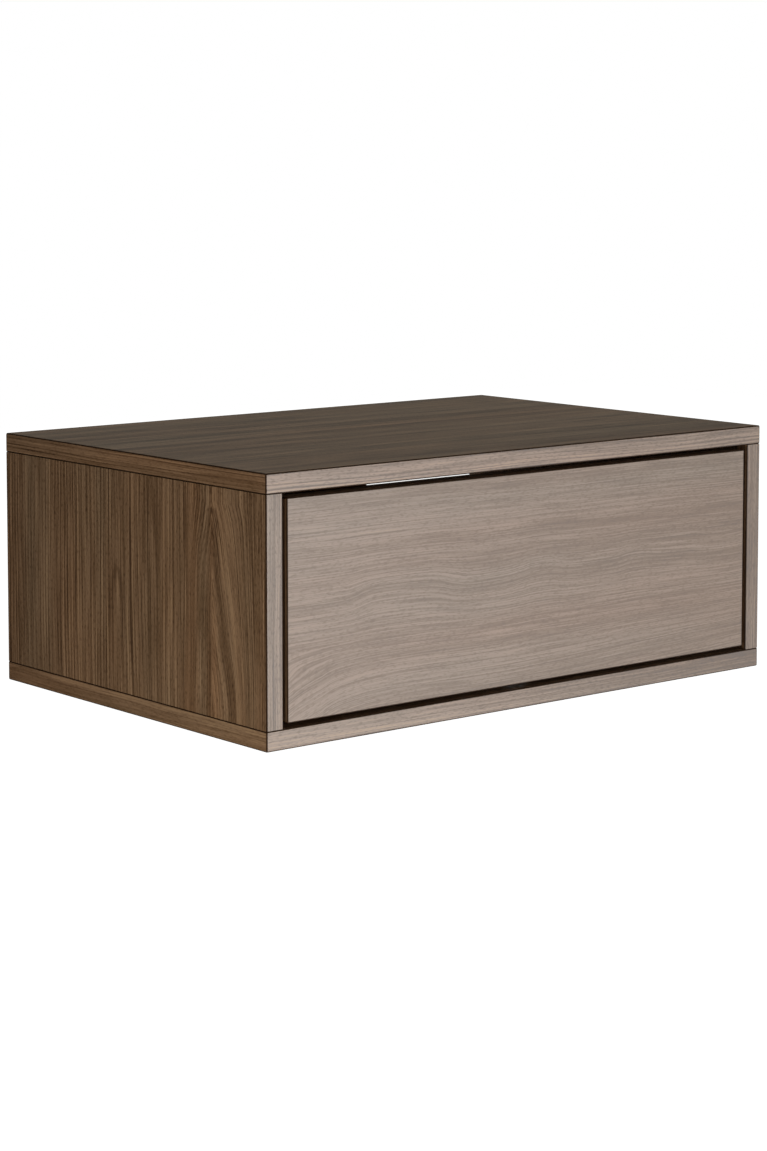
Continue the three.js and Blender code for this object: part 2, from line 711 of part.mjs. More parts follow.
const wireSection = new THREE.Shape(Array.from({ length: springSides }, (_, i) => {
  const angle = 2 * Math.PI * i / springSides;
  return new THREE.Vector2(springWire / 2 * Math.cos(angle), springWire / 2 * Math.sin(angle));
}));
addPiece('latch_spring', new THREE.ExtrudeGeometry(wireSection, {
  steps: springTurns * springSteps,
  extrudePath: new Helix(),
  bevelEnabled: false,
}), zincSteel, [0, plungerRear + contactGap + springWire / 2, latchAxis], alongY);

// Boards

function crossBoard(base) {
  return roundedBlock([-width / 2, front, base], [width / 2, 0, base + board], arris, arrisSteps);
}

// A side has rounded upright edges and square ends, which the top and bottom boards cover.
function sideBoard(sign) {
  const inner = sign * innerHalfWidth;
  const outer = sign * width / 2;
  const tall = roundedBlock(
    [Math.min(inner, outer), front, bottomTop - board],
    [Math.max(inner, outer), 0, topUnderside + board],
    arris,
    arrisSteps,
  );
  return cut(tall, [
    block([-width, -width, -board], [width, width, bottomTop + seat]),
    block([-width, -width, topUnderside - seat], [width, width, height + board]),
  ]);
}

addPiece('top_panel', cut(crossBoard(topUnderside), [...crossCutters.top, ...cleatScrewCutters]), walnut);
addPiece('bottom_panel', cut(crossBoard(0), [...crossCutters.bottom, backGroove]), walnut);
for (const { side, sign } of jointSides) {
  addPiece(`side_panel_${side}`, cut(sideBoard(sign), [...sideCutters[side], backGroove]), walnut);
}

export default part;
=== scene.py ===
"""Looks of a floating nightstand: veneered boards, a plywood drawer box, metal and plastic fittings.

Metres. +X is to the right seen from the front, the front faces -Y, the wall is the plane Y = 0, +Z is up.
"""

import json
import math

import bmesh
import bpy
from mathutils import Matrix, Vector


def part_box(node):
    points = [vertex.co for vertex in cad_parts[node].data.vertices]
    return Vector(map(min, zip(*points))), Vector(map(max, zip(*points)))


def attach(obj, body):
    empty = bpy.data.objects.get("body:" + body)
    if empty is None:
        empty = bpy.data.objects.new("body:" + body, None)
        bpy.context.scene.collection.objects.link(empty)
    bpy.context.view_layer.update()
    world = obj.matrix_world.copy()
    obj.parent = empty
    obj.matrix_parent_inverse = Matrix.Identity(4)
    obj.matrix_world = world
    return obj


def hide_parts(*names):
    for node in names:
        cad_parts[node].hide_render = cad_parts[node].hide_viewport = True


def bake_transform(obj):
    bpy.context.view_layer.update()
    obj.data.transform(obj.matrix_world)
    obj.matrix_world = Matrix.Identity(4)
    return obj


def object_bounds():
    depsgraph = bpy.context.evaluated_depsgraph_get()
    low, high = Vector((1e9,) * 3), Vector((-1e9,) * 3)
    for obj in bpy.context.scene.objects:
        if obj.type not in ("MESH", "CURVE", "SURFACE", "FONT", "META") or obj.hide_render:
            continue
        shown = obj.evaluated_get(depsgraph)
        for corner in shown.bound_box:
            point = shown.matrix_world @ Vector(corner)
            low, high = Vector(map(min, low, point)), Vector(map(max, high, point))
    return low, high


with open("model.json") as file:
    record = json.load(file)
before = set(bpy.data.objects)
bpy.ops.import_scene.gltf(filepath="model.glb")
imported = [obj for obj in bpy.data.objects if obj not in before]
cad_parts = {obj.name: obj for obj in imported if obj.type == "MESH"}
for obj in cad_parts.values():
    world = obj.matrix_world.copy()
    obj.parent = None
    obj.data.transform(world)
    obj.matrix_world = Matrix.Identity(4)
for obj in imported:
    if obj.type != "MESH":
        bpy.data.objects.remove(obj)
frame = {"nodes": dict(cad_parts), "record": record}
cad_low, cad_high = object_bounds()
scene = bpy.context.scene
MM = 0.001


# Small helpers

def linear(hex_colour):
    """An sRGB hex colour as linear red, green, blue and alpha."""
    channels = [int(hex_colour[i:i + 2], 16) / 255 for i in (1, 3, 5)]
    return (*[c / 12.92 if c <= 0.04045 else ((c + 0.055) / 1.055) ** 2.4 for c in channels], 1)


def add_node(tree, kind, inputs=None, **settings):
    """Adds a node with its settings, and sets each input to a value or links it to a socket."""
    node = tree.nodes.new("ShaderNode" + kind)
    for name, value in settings.items():
        setattr(node, name, value)
    for name, value in (inputs or {}).items():
        if isinstance(value, bpy.types.NodeSocket):
            tree.links.new(value, node.inputs[name])
        else:
            node.inputs[name].default_value = value
    return node


def new_material(name):
    """An empty node material, its tree and its output node."""
    material = bpy.data.materials.new(name)
    material.use_nodes = True
    tree = material.node_tree
    tree.nodes.clear()
    output = tree.nodes.new("ShaderNodeOutputMaterial")
    return material, tree, output


def set_ramp(ramp_node, stops):
    """Fills a colour ramp with (place, hex colour) stops."""
    elements = ramp_node.color_ramp.elements
    while len(elements) < len(stops):
        elements.new(1)
    for element, (place, colour) in zip(elements, stops):
        element.position = place
        element.color = linear(colour)


def set_curve(curve_node, points):
    """Gives a float curve listed (place, height) points, both from 0 to 1."""
    curve = curve_node.mapping.curves[0]
    while len(curve.points) < len(points):
        curve.points.new(0.5, 0.5)
    for point, (place, height) in zip(curve.points, points):
        point.location = (place, height)
    curve_node.mapping.update()


def curve_of(tree, value, value_range, points, height_range):
    """A curve of a value drawn through listed points: places and heights are shares of the two ranges."""
    place = add_node(tree, "MapRange", {"Value": value, "From Min": value_range[0],
                                        "From Max": value_range[1]})
    curve = add_node(tree, "FloatCurve", {"Value": place.outputs[0]})
    set_curve(curve, points)
    height = add_node(tree, "MapRange", {"Value": curve.outputs[0], "To Min": height_range[0],
                                         "To Max": height_range[1]})
    return height.outputs[0]


def spot_noise(tree, place, size, detail, start=(0, 0, 0), roughness=0.5):
    """Noise round 0.5 on a place in metres. Spots have a size along each axis, and start sets it apart."""
    spot = add_node(tree, "Mapping", {"Vector": place, "Location": start,
                                      "Scale": [1 / length for length in size]})
    noise = add_node(tree, "TexNoise", {"Vector": spot.outputs[0], "Scale": 1.0, "Detail": detail,
                                        "Roughness": roughness})
    return noise.outputs[0]


def new_object(name, data):
    """An object of the scene from its data."""
    made = bpy.data.objects.new(name, data)
    scene.collection.objects.link(made)
    return made


def mesh_object(name, bm, materials):
    """An object of the scene from its faces and materials."""
    mesh = bpy.data.meshes.new(name)
    bm.to_mesh(mesh)
    bm.free()
    for material in materials:
        mesh.materials.append(material)
    return new_object(name, mesh)


# Camera, floor, world and lamps

CAMERA_PLACE = Vector((-1.6729, -2.2246, 0.3588))
CAMERA_YAW = math.radians(39.527)  # to the right of straight at the front
CAMERA_PITCH = math.radians(4.991)  # below level
CAMERA_LENS = 86.273  # in mm, with the default sensor
CAMERA_SHIFT = -0.175  # keeps the uprights nearly parallel, and the whole case in every other view
FLOOR_HEIGHT = -1.8
FLOOR_HALF = 15.0
FLOOR_GLOW = 0.8  # lifts the paper to white where it is seen
AMBIENT = 0.33  # of the white world that lights the object
FLAG_RADIUS = 1.3
FLAG_TOP = 3.0
FLAG_HOLE = 0.01  # in the middle of its roof
FLAG_STEPS = 24


def make_camera():
    """The photograph's camera, pitched a little so that other views keep the case in the picture."""
    data = bpy.data.cameras.new("camera")
    data.lens = CAMERA_LENS
    data.shift_y = CAMERA_SHIFT
    camera = new_object("camera", data)
    camera.location = CAMERA_PLACE
    camera.rotation_euler = (math.pi / 2 - CAMERA_PITCH, 0, -CAMERA_YAW)
    scene.camera = camera


def background_share(tree):
    """1 for rays that should see the white background: camera, glossy and transmission rays."""
    path = add_node(tree, "LightPath")
    share = path.outputs["Is Camera Ray"]
    for name in ("Is Glossy Ray", "Is Transmission Ray"):
        share = add_node(tree, "Math", {0: share, 1: path.outputs[name]}, operation="MAXIMUM").outputs[0]
    return share


def make_world():
    """A world that is plain white where it is seen and lights the object softly."""
    world = bpy.data.worlds.new("white_studio")
    world.use_nodes = True
    tree = world.node_tree
    tree.nodes.clear()
    soft = add_node(tree, "Background", {"Color": linear("#ffffff"), "Strength": AMBIENT})
    white = add_node(tree, "Background", {"Color": linear("#ffffff"), "Strength": 1.0})
    mix = add_node(tree, "MixShader", {0: background_share(tree), 1: soft.outputs[0], 2: white.outputs[0]})
    output = tree.nodes.new("ShaderNodeOutputWorld")
    tree.links.new(mix.outputs[0], output.inputs["Surface"])
    scene.world = world


def make_floor():
    """Matt white paper, which shows as white and keeps the shadow."""
    material, tree, output = new_material("white_paper")
    paper = add_node(tree, "BsdfDiffuse", {"Color": linear("#f0f0ee")})
    glow = add_node(tree, "Emission", {"Color": linear("#ffffff"), "Strength": FLOOR_GLOW})
    seen = add_node(tree, "AddShader", {0: paper.outputs[0], 1: glow.outputs[0]})
    mix = add_node(tree, "MixShader", {0: background_share(tree), 1: paper.outputs[0], 2: seen.outputs[0]})
    tree.links.new(mix.outputs[0], output.inputs["Surface"])
    bm = bmesh.new()
    bmesh.ops.create_grid(bm, x_segments=1, y_segments=1, size=FLOOR_HALF)
    bmesh.ops.translate(bm, verts=bm.verts, vec=(0, 0, FLOOR_HEIGHT))
    mesh_object("floor", bm, [material])


def make_softbox(name, aim, towards, distance, size, radiance, reflected=True):
    """An area lamp of a given radiance, where 1 is white. It stands off its aim in a direction, and can be
    left out of reflections."""
    data = bpy.data.lights.new(name, "AREA")
    data.shape = "RECTANGLE"
    data.size, data.size_y = size
    data.energy = radiance * math.pi * size[0] * size[1]
    lamp = new_object(name, data)
    direction = Vector(towards).normalized()
    lamp.location = aim + direction * distance
    lamp.rotation_euler = direction.to_track_quat("Z", "Y").to_euler()
    lamp.visible_camera = False
    lamp.visible_glossy = reflected


def make_flag(name, bearing_start, bearing_end, low, shade):
    """A curved dark card with a roof, which only reflections see. It stands round the case between two
    bearings in degrees, clockwise from +Y."""
    material, tree, output = new_material(name + "_cloth")
    cloth = add_node(tree, "Emission", {"Color": linear("#fcfff5"), "Strength": shade})
    tree.links.new(cloth.outputs[0], output.inputs["Surface"])
    bm = bmesh.new()
    start = math.radians(bearing_start)
    outline = ((FLAG_RADIUS, low), (FLAG_RADIUS, FLAG_TOP), (FLAG_HOLE, FLAG_TOP))
    verts = [bm.verts.new((reach * math.sin(start), reach * math.cos(start), z)) for reach, z in outline]
    edges = [bm.edges.new(pair) for pair in zip(verts, verts[1:])]
    turn = math.radians(bearing_start - bearing_end)
    bmesh.ops.spin(bm, geom=verts + edges, cent=(0, 0, 0), axis=(0, 0, 1), angle=turn, steps=FLAG_STEPS)
    flag = mesh_object(name, bm, [material])
    flag.visible_camera = False
    flag.visible_diffuse = False
    flag.visible_transmission = False
    flag.visible_shadow = False


make_camera()
make_world()
make_floor()
case_centre = (cad_low + cad_high) / 2
lower_left_front = Vector((-0.3, -0.42, -0.15))
make_softbox("front_softbox", case_centre, towards=(0.25, -0.955, -0.15), distance=5.0, size=(3.8, 3.4),
             radiance=3.6)
make_softbox("left_fill", lower_left_front, towards=(-0.9, -0.3, -0.45), distance=0.8, size=(0.6, 0.6),
             radiance=5.6, reflected=False)
make_softbox("top_fill", case_centre, towards=(0, 0.1, 1), distance=2.5, size=(2.0, 2.0),
             radiance=2.0, reflected=False)
make_softbox("back_fill", case_centre, towards=(0.1, 0.85, -0.5), distance=1.6, size=(1.2, 0.8),
             radiance=1.5)
make_flag("left_flag", bearing_start=-165, bearing_end=-5, low=FLOOR_HEIGHT, shade=0.0)
make_flag("back_flag", bearing_start=-5, bearing_end=80, low=FLOOR_HEIGHT, shade=0.126)
make_flag("front_flag", bearing_start=80, bearing_end=195, low=0.28, shade=0.0)  # clears the front softbox


# The grain's map on a board

X_AXIS = 0
Z_AXIS = 2
BAND_OFFSET = 0.37  # metres between the patterns of a board's faces, so that a band doesn't repeat its face


def facing_axis(face):
    """The axis that a face looks along, or nearly."""
    return max(range(3), key=lambda axis: abs(face.normal[axis]))


def thin_axis(size):
    """The axis through a board's thickness."""
    return min(range(3), key=lambda axis: size[axis])


def grain_axes(normal_axis, grain_axis, size):
    """The axes along and across the grain on a face: a band runs lengthwise where the grain would end."""
    others = [axis for axis in range(3) if axis != normal_axis]
    if grain_axis in others:
        along = grain_axis
    else:
        along = max(others, key=lambda axis: size[axis])
    across = next(axis for axis in others if axis != along)
    return along, across


def map_grain(bm, grain_axis, size):
    """A UV map in metres, u along the grain and v across it."""
    layer = bm.loops.layers.uv.new("grain")
    for face in bm.faces:
        normal_axis = facing_axis(face)
        along, across = grain_axes(normal_axis, grain_axis, size)
        main = normal_axis == thin_axis(size)
        shift = 0 if main else BAND_OFFSET * (1 + normal_axis)
        if not main and face.normal[normal_axis] < 0:
            shift += BAND_OFFSET / 2
        for loop in face.loops:
            loop[layer].uv = (loop.vert.co[along], loop.vert.co[across] + shift)


# Walnut veneer: tones run from 0, dark, to 1, light

MID_TONE = 0.5
STREAKS = (
    # name, half a wave across the grain in mm, length along it in mm
    ("bands", 22, 1400),
    ("growth_lines", 6.5, 1100),
    ("fine_lines", 2.3, 500),
    ("fibres", 1.1, 75),  # real ones are half as wide, and would vanish between the picture's points
)
STREAK_ROUGHNESS = 0.6
LAYER_STEP = 3.1  # between the starts of a material's layers of noise, so that they don't look alike
UPRIGHT_WEIGHTS = (0.55, 0.2, 0.75, 1.75, 1.1)  # of the four streaks and the ring lines in the tone
FRONT_WEIGHTS = (0.7, 0.2, 0.45, 1.9, 0.5)
FLAT_WEIGHTS = (1.1, 0.4, 1.2, 2.6, 0.4)  # stronger, as the top is seen at a low angle
DRIFT_PATCH = (0.26, 0.07, 1)  # along and across the grain, over which the lines wander to and fro
DRIFT_LIFT = 1.7  # sets the boards' drifts apart on the noise's third axis too
WANDER = 4 * MM  # of a line, at a board's wander of 1
SLIDE = cad_high.x  # the tone slides over this length on both sides of the origin
RING = 5 * MM  # between two dark late-wood lines
RING_SHIFT = 2.5  # rings, by which the growth lines' noise makes the spacing uneven
RING_SHARES = ((0, 0.5), (0.5, 0.62), (0.75, 0.3), (0.9, 0), (1, 0.5))  # early wood, then dark late wood
RING_BANDS = (0.4, 0.62)  # noise of a dark band, where ring lines are faint, and of a light one
FAINT_RING = 0.05
PORE = (4 * MM, 1.1 * MM, 1)  # real ones are 0.2 mm wide, so these are drawn as coarse as the fibres
PORE_NOISE = (0.52, 0.74)  # where a pore begins and where it is deepest
PORE_WEIGHT = 0.32
PORE_DEPTH = 0.7  # of the fibres' relief
BROWNS = ((0.0, "#442e1a"), (0.3, "#5d442b"), (0.5, "#6a5036"), (0.7, "#775b41"), (1.0, "#8d6f50"))
HUE_PATCH = (0.5, 0.05, 1)  # along and across the grain, over which the hue shifts
HUE_START = (0, 0, 17.0)
HUE_NOISE = (0.3, 0.7)  # of the yellowest and the greyest wood
ARRIS_FLATNESS = (0.99, 0.86)  # sum of the normal's fourth powers: 1 on a face, 0.5 at an arris's middle
ARRIS_SHARE = 0.95  # of the dark brown and dullness that a rounded arris takes on; the dark brown is partly a dark line where the veneers meet and partly painted shade
SHINE_TONES = (0.2, 0.8)  # of the dullest and the shiniest wood
SHINE_COATS = (0.8, 1.0)  # weight of the lacquer on each of them
SHINE_SPECULARS = (0.6, 1.0)  # specular level of each of them
ARRIS_SPECULAR = 0.1
FIBRE_NOISE = (0.2, 0.8)  # of the smoothest and the roughest fibres
FIBRE_ROUGHNESS = (0.46, 0.58)
VENEER_BUMP = 0.25
FINE_RELIEF = 0.05 * MM
WOOD_IOR = 1.5
LACQUER_IOR = 1.55
LACQUER_ROUGHNESS = 0.4


def add_streaks(tree, tone, noise, weight):
    """Adds noise to a tone by a weight and leaves the mean where it is."""
    centred = add_node(tree, "Math", {0: noise, 1: MID_TONE}, operation="SUBTRACT")
    added = add_node(tree, "Math", {0: centred.outputs[0], 1: weight, 2: tone}, operation="MULTIPLY_ADD")
    return added.outputs[0]


def wandering_lines(tree, uv, across, seed, wander):
    """The place across the grain of growth lines that wander to and fro along the board."""
    drift = spot_noise(tree, uv, DRIFT_PATCH, detail=1.5, start=(seed, 0, seed * DRIFT_LIFT))
    centred = add_node(tree, "Math", {0: drift, 1: -0.5}, operation="ADD")
    ring = add_node(tree, "Math", {0: centred.outputs[0], 1: wander * WANDER, 2: across},
                    operation="MULTIPLY_ADD")
    return ring.outputs[0]


def walnut_tone(tree, grain, ring, tone, weights):
    """A tone with the streaks, the rings' dark late wood and the pores. Gives the pores and fibres too."""
    layers = {}
    for place, ((layer, half_wave, length), weight) in enumerate(zip(STREAKS, weights)):
        layers[layer] = spot_noise(tree, grain, (length * MM, half_wave * MM, 1), detail=1.0,
                                   start=(0, 0, place * LAYER_STEP), roughness=STREAK_ROUGHNESS)
        tone = add_streaks(tree, tone, layers[layer], weight)
    rings = add_node(tree, "Math", {0: ring, 1: 1 / RING}, operation="MULTIPLY")
    uneven = add_node(tree, "Math", {0: layers["growth_lines"], 1: RING_SHIFT, 2: rings.outputs[0]},
                      operation="MULTIPLY_ADD")
    in_ring = add_node(tree, "Math", {0: uneven.outputs[0]}, operation="FRACT").outputs[0]
    late_wood = curve_of(tree, in_ring, (0, 1), RING_SHARES, (-0.5, 0.5))
    ring_weight = add_node(tree, "MapRange", {
        "Value": layers["bands"], "From Min": RING_BANDS[0], "From Max": RING_BANDS[1],
        "To Min": FAINT_RING, "To Max": weights[-1]})
    ringed = add_node(tree, "Math", {0: late_wood, 1: ring_weight.outputs[0], 2: tone},
                      operation="MULTIPLY_ADD")
    pore_noise = spot_noise(tree, grain, PORE, detail=0.0)
    pores = add_node(tree, "MapRange", {"Value": pore_noise, "From Min": PORE_NOISE[0],
                                        "From Max": PORE_NOISE[1]}).outputs[0]
    pored = add_node(tree, "Math", {0: pores, 1: -PORE_WEIGHT, 2: ringed.outputs[0]},
                     operation="MULTIPLY_ADD")
    return pored.outputs[0], pores, layers["fibres"]


def walnut_colour(tree, grain, tone, contrast):
    """The brown of a tone, in which contrast is the tone's share, under a slight shift of hue."""
    shown = add_node(tree, "Math", {0: tone, 1: contrast, 2: MID_TONE * (1 - contrast)},
                     operation="MULTIPLY_ADD")
    brown = add_node(tree, "ValToRGB", {0: shown.outputs[0]})
    set_ramp(brown, BROWNS)
    hue = spot_noise(tree, grain, HUE_PATCH, detail=2.5, start=HUE_START)
    shift = add_node(tree, "MapRange", {"Value": hue, "From Min": HUE_NOISE[0], "From Max": HUE_NOISE[1]})
    tint = add_node(tree, "Mix", {"Factor": shift.outputs[0], "A": linear("#fff4e5"),
                                  "B": linear("#f3f6f3")}, data_type="RGBA")
    tinted = add_node(tree, "Mix", {"Factor": 1.0, "A": brown.outputs[0], "B": tint.outputs["Result"]},
                      data_type="RGBA", blend_type="MULTIPLY")
    return tinted.outputs["Result"]


def arris_share(tree):
    """How much a point belongs to a rounded arris: 0 on the faces."""
    facing = add_node(tree, "TexCoord").outputs["Normal"]
    squared = add_node(tree, "VectorMath", {0: facing, 1: facing}, operation="MULTIPLY").outputs[0]
    flatness = add_node(tree, "VectorMath", {0: squared, 1: squared}, operation="DOT_PRODUCT")
    share = add_node(tree, "MapRange", {
        "Value": flatness.outputs["Value"], "From Min": ARRIS_FLATNESS[0], "From Max": ARRIS_FLATNESS[1],
        "To Min": 0.0, "To Max": ARRIS_SHARE})
    return share.outputs[0]


def walnut_veneer(name, seed, figure, wander, weights, tones, contrast):
    """Sliced walnut veneer under a thin satin lacquer: brown bands and growth lines that wander along the
    board, short dark pores and a slight shift of hue. Dense light wood takes more shine than dark wood, so
    the streaks show in the lacquer too. The rounded arrises are dull, and dark brown that is partly a dark
    line where the veneers meet and partly painted shade. The tone slides along the board between two values."""
    material, tree, output = new_material(name)
    uv = add_node(tree, "UVMap", uv_map="grain").outputs[0]
    parts = add_node(tree, "SeparateXYZ", {0: uv})
    along = parts.outputs[0]
    ring = wandering_lines(tree, uv, parts.outputs[1], seed, wander)
    tone = add_node(tree, "MapRange", {"Value": along, "From Min": -SLIDE, "From Max": SLIDE,
                                       "To Min": tones[0], "To Max": tones[1]}).outputs[0]
    layer_seed = seed
    if figure:
        ring, drawn, layer_seed = figure(tree, along, ring, seed)
        tone = add_node(tree, "Math", {0: tone, 1: drawn}, operation="ADD").outputs[0]
    grain = add_node(tree, "CombineXYZ", {0: along, 1: ring, 2: layer_seed}).outputs[0]
    tone, pores, fibres = walnut_tone(tree, grain, ring, tone, weights)
    arris = arris_share(tree)
    # dark brown on the rounded arrises: partly a dark line where the veneers meet, partly painted shade of
    # the rounding
    colour = add_node(tree, "Mix", {"Factor": arris, "A": walnut_colour(tree, grain, tone, contrast),
                                    "B": linear("#26170b")}, data_type="RGBA")
    shine = add_node(tree, "MapRange", {"Value": tone, "From Min": SHINE_TONES[0],
                                        "From Max": SHINE_TONES[1]}).outputs[0]
    coat = add_node(tree, "MapRange", {"Value": shine, "To Min": SHINE_COATS[0], "To Max": SHINE_COATS[1]})
    specular = add_node(tree, "MapRange", {"Value": shine, "To Min": SHINE_SPECULARS[0],
                                           "To Max": SHINE_SPECULARS[1]})
    lacquer = add_node(tree, "MapRange", {"Value": arris, "To Min": coat.outputs[0], "To Max": 0.0})
    gloss = add_node(tree, "MapRange", {"Value": arris, "To Min": specular.outputs[0],
                                        "To Max": ARRIS_SPECULAR})
    rough = add_node(tree, "MapRange", {
        "Value": fibres, "From Min": FIBRE_NOISE[0], "From Max": FIBRE_NOISE[1],
        "To Min": FIBRE_ROUGHNESS[0], "To Max": FIBRE_ROUGHNESS[1]})
    relief = add_node(tree, "Math", {0: pores, 1: -PORE_DEPTH, 2: fibres}, operation="MULTIPLY_ADD")
    bump = add_node(tree, "Bump", {"Height": relief.outputs[0], "Strength": VENEER_BUMP,
                                   "Distance": FINE_RELIEF})
    shader = add_node(tree, "BsdfPrincipled", {
        "Base Color": colour.outputs["Result"], "Roughness": rough.outputs[0], "Normal": bump.outputs[0],
        "IOR": WOOD_IOR, "Specular IOR Level": gloss.outputs[0], "Coat Weight": lacquer.outputs[0],
        "Coat Roughness": LACQUER_ROUGHNESS, "Coat IOR": LACQUER_IOR})
    tree.links.new(shader.outputs[0], output.inputs["Surface"])
    return material


# The left side's figure: places are along Y, so they are negative, and heights are along Z

side_low, side_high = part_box("side_panel_left")
SIDE_BAND_TONE = 0.22
FLAME_PLACE = -0.3275
FLAME_TIP = 0.046
FLAME_REACH = 0.2
FLAME_SPREAD = 0.04
FLAME_FADE = (0.032, 0.07)
FLAME_REAR_FADE = (0.016, 0.042)
FLAME_MARGIN = 0.04  # on both sides of its outline, in which its tone is drawn
FLAME_TONE = 0.3
FLAME_START = (-0.012, 0.004)  # below the tip, where its tone sets in
FLAME_FRONT = (-0.004, 0.008)  # from the axis, between its strong front half and its faint rear one
FLAME_REAR_SHARE = 0.1
EYE_PLACE = -0.186
EYE_TIP = -0.027
EYE_REACH = 0.1
EYE_SPREAD = 0.0105
EYE_FADE = (0.012, 0.03)
EYE_MARGIN = 0.012  # on both sides of its outline, in which its line is drawn
EYE_TONE = 0.36
EYE_LENGTH = (-0.02, 0.1)  # below its tip, in which its line is drawn
AXIS_BLUR = 1 * MM  # on both sides of an axis, where its two sides meet
TIP_ROUNDING = 1.5 * MM  # rounds the lines off where they cross an axis
SEED_BLUR = 0.03  # on both sides of the flame's axis, where one side's streaks give way to the other's
SEED_TURN = 2.3


def flame_tip(tree, along, ring, place, tip, front_edge, rear_edge, reach, spread, fade, rear_fade):
    """Growth lines that part round a flame with its tip up: how far each point is outside the flame, behind
    its axis and below its tip. The edges are drawn over a reach below the tip, and the flame's half width
    goes up to its spread. The push on the lines outside fades between two distances from the axis, one pair
    in front of it and one behind it."""
    below = add_node(tree, "Math", {0: tip, 1: along}, operation="SUBTRACT").outputs[0]
    offset = add_node(tree, "Math", {0: ring, 1: place}, operation="SUBTRACT").outputs[0]
    front_width = curve_of(tree, below, (0, reach), front_edge, (0, spread))
    rear_width = curve_of(tree, below, (0, reach), rear_edge, (0, spread))
    side = add_node(tree, "MapRange", {"Value": offset, "From Min": -AXIS_BLUR,
                                       "From Max": AXIS_BLUR}).outputs[0]
    width = add_node(tree, "Mix", {"Factor": side, "A": front_width, "B": rear_width}).outputs["Result"]
    square = add_node(tree, "Math", {0: offset, 1: offset, 2: TIP_ROUNDING ** 2}, operation="MULTIPLY_ADD")
    distance = add_node(tree, "Math", {0: square.outputs[0]}, operation="SQRT").outputs[0]
    start = add_node(tree, "Mix", {"Factor": side, "A": fade[0], "B": rear_fade[0]}).outputs["Result"]
    end = add_node(tree, "Mix", {"Factor": side, "A": fade[1], "B": rear_fade[1]}).outputs["Result"]
    hold = add_node(tree, "MapRange", {"Value": distance, "From Min": start, "From Max": end,
                                       "To Min": 1.0, "To Max": 0.0}, interpolation_type="SMOOTHSTEP")
    pushed = add_node(tree, "Math", {0: width, 1: hold.outputs[0]}, operation="MULTIPLY")
    outside = add_node(tree, "Math", {0: distance, 1: pushed.outputs[0]}, operation="SUBTRACT").outputs[0]
    return outside, offset, below


def side_flame(tree, along, ring):
    """A flame near the front edge with a dark tip and a pale rim, strong on its front half."""
    outside, offset, below = flame_tip(
        tree, along, ring, FLAME_PLACE, FLAME_TIP,
        front_edge=((0, 0), (0.12, 0.22), (0.37, 0.47), (0.58, 0.69), (0.9, 1), (1, 1)),
        rear_edge=((0, 0), (0.12, 0.13), (0.24, 0.28), (0.36, 0.33), (1, 0.35)),
        reach=FLAME_REACH, spread=FLAME_SPREAD, fade=FLAME_FADE, rear_fade=FLAME_REAR_FADE)
    tone = curve_of(tree, outside, (-FLAME_MARGIN, FLAME_MARGIN), (
        (0, 0.72), (0.25, 0.70), (0.31, 0.44), (0.37, 0.2), (0.48, 0.15), (0.505, 0.5), (0.53, 0.84),
        (0.64, 0.78), (0.72, 0.5), (1, 0.5)), (-FLAME_TONE, FLAME_TONE))
    reached = add_node(tree, "MapRange", {"Value": below, "From Min": FLAME_START[0],
                                          "From Max": FLAME_START[1]})
    strength = add_node(tree, "MapRange", {
        "Value": offset, "From Min": FLAME_FRONT[0], "From Max": FLAME_FRONT[1],
        "To Min": 1.0, "To Max": FLAME_REAR_SHARE})
    share = add_node(tree, "Math", {0: reached.outputs[0], 1: strength.outputs[0]}, operation="MULTIPLY")
    return outside, offset, tone, share.outputs[0]


def side_eye(tree, along, ring):
    """The dark line round a small eye behind the flame, and the share of it that shows at each height."""
    outside, _, below = flame_tip(
        tree, along, ring, EYE_PLACE, EYE_TIP,
        front_edge=((0, 0), (0.1, 0.6), (0.3, 0.95), (0.6, 1), (1, 0.8)),
        rear_edge=((0, 0), (0.1, 0.5), (0.3, 0.8), (0.6, 0.8), (1, 0.6)),
        reach=EYE_REACH, spread=EYE_SPREAD, fade=EYE_FADE, rear_fade=EYE_FADE)
    line = curve_of(tree, outside, (-EYE_MARGIN, EYE_MARGIN), (
        (0, 0.66), (0.25, 0.62), (0.38, 0.2), (0.5, 0.08), (0.6, 0.3), (0.75, 0.5), (1, 0.5)),
        (-EYE_TONE, EYE_TONE))
    share = curve_of(tree, below, EYE_LENGTH, (
        (0, 0), (0.12, 0.3), (0.18, 1), (0.35, 0.8), (0.6, 0.35), (1, 0)), (0, 1))
    return line, share


def side_figure(tree, along, ring, seed):
    """A flame near the front edge with its tip up, a small eye behind it, and the board's broad bands."""
    outside, offset, flame_tone, flame_share = side_flame(tree, along, ring)
    bands = curve_of(tree, ring, (side_low.y, side_high.y), (
        (0, 0.42), (0.05, 0.36), (0.10, 0.6), (0.22, 0.55), (0.27, 0.34), (0.31, 0.62), (0.34, 0.66),
        (0.39, 0.4), (0.43, 0.32), (0.48, 0.55), (0.60, 0.5), (0.63, 0.72), (0.68, 0.7), (0.72, 0.42),
        (0.77, 0.38), (0.83, 0.58), (0.92, 0.4), (1, 0.1)), (-SIDE_BAND_TONE, SIDE_BAND_TONE))
    eye_line, eye_share = side_eye(tree, along, ring)
    flame = add_node(tree, "Math", {0: flame_tone, 1: flame_share, 2: bands}, operation="MULTIPLY_ADD")
    tone = add_node(tree, "Math", {0: eye_line, 1: eye_share, 2: flame.outputs[0]},
                    operation="MULTIPLY_ADD")
    turn = add_node(tree, "MapRange", {
        "Value": offset, "From Min": -SEED_BLUR, "From Max": SEED_BLUR,
        "To Min": seed, "To Max": seed + SEED_TURN}, interpolation_type="SMOOTHSTEP")
    return outside, tone.outputs[0], turn.outputs[0]


# The drawer front's figure: places are along X and heights are along Z

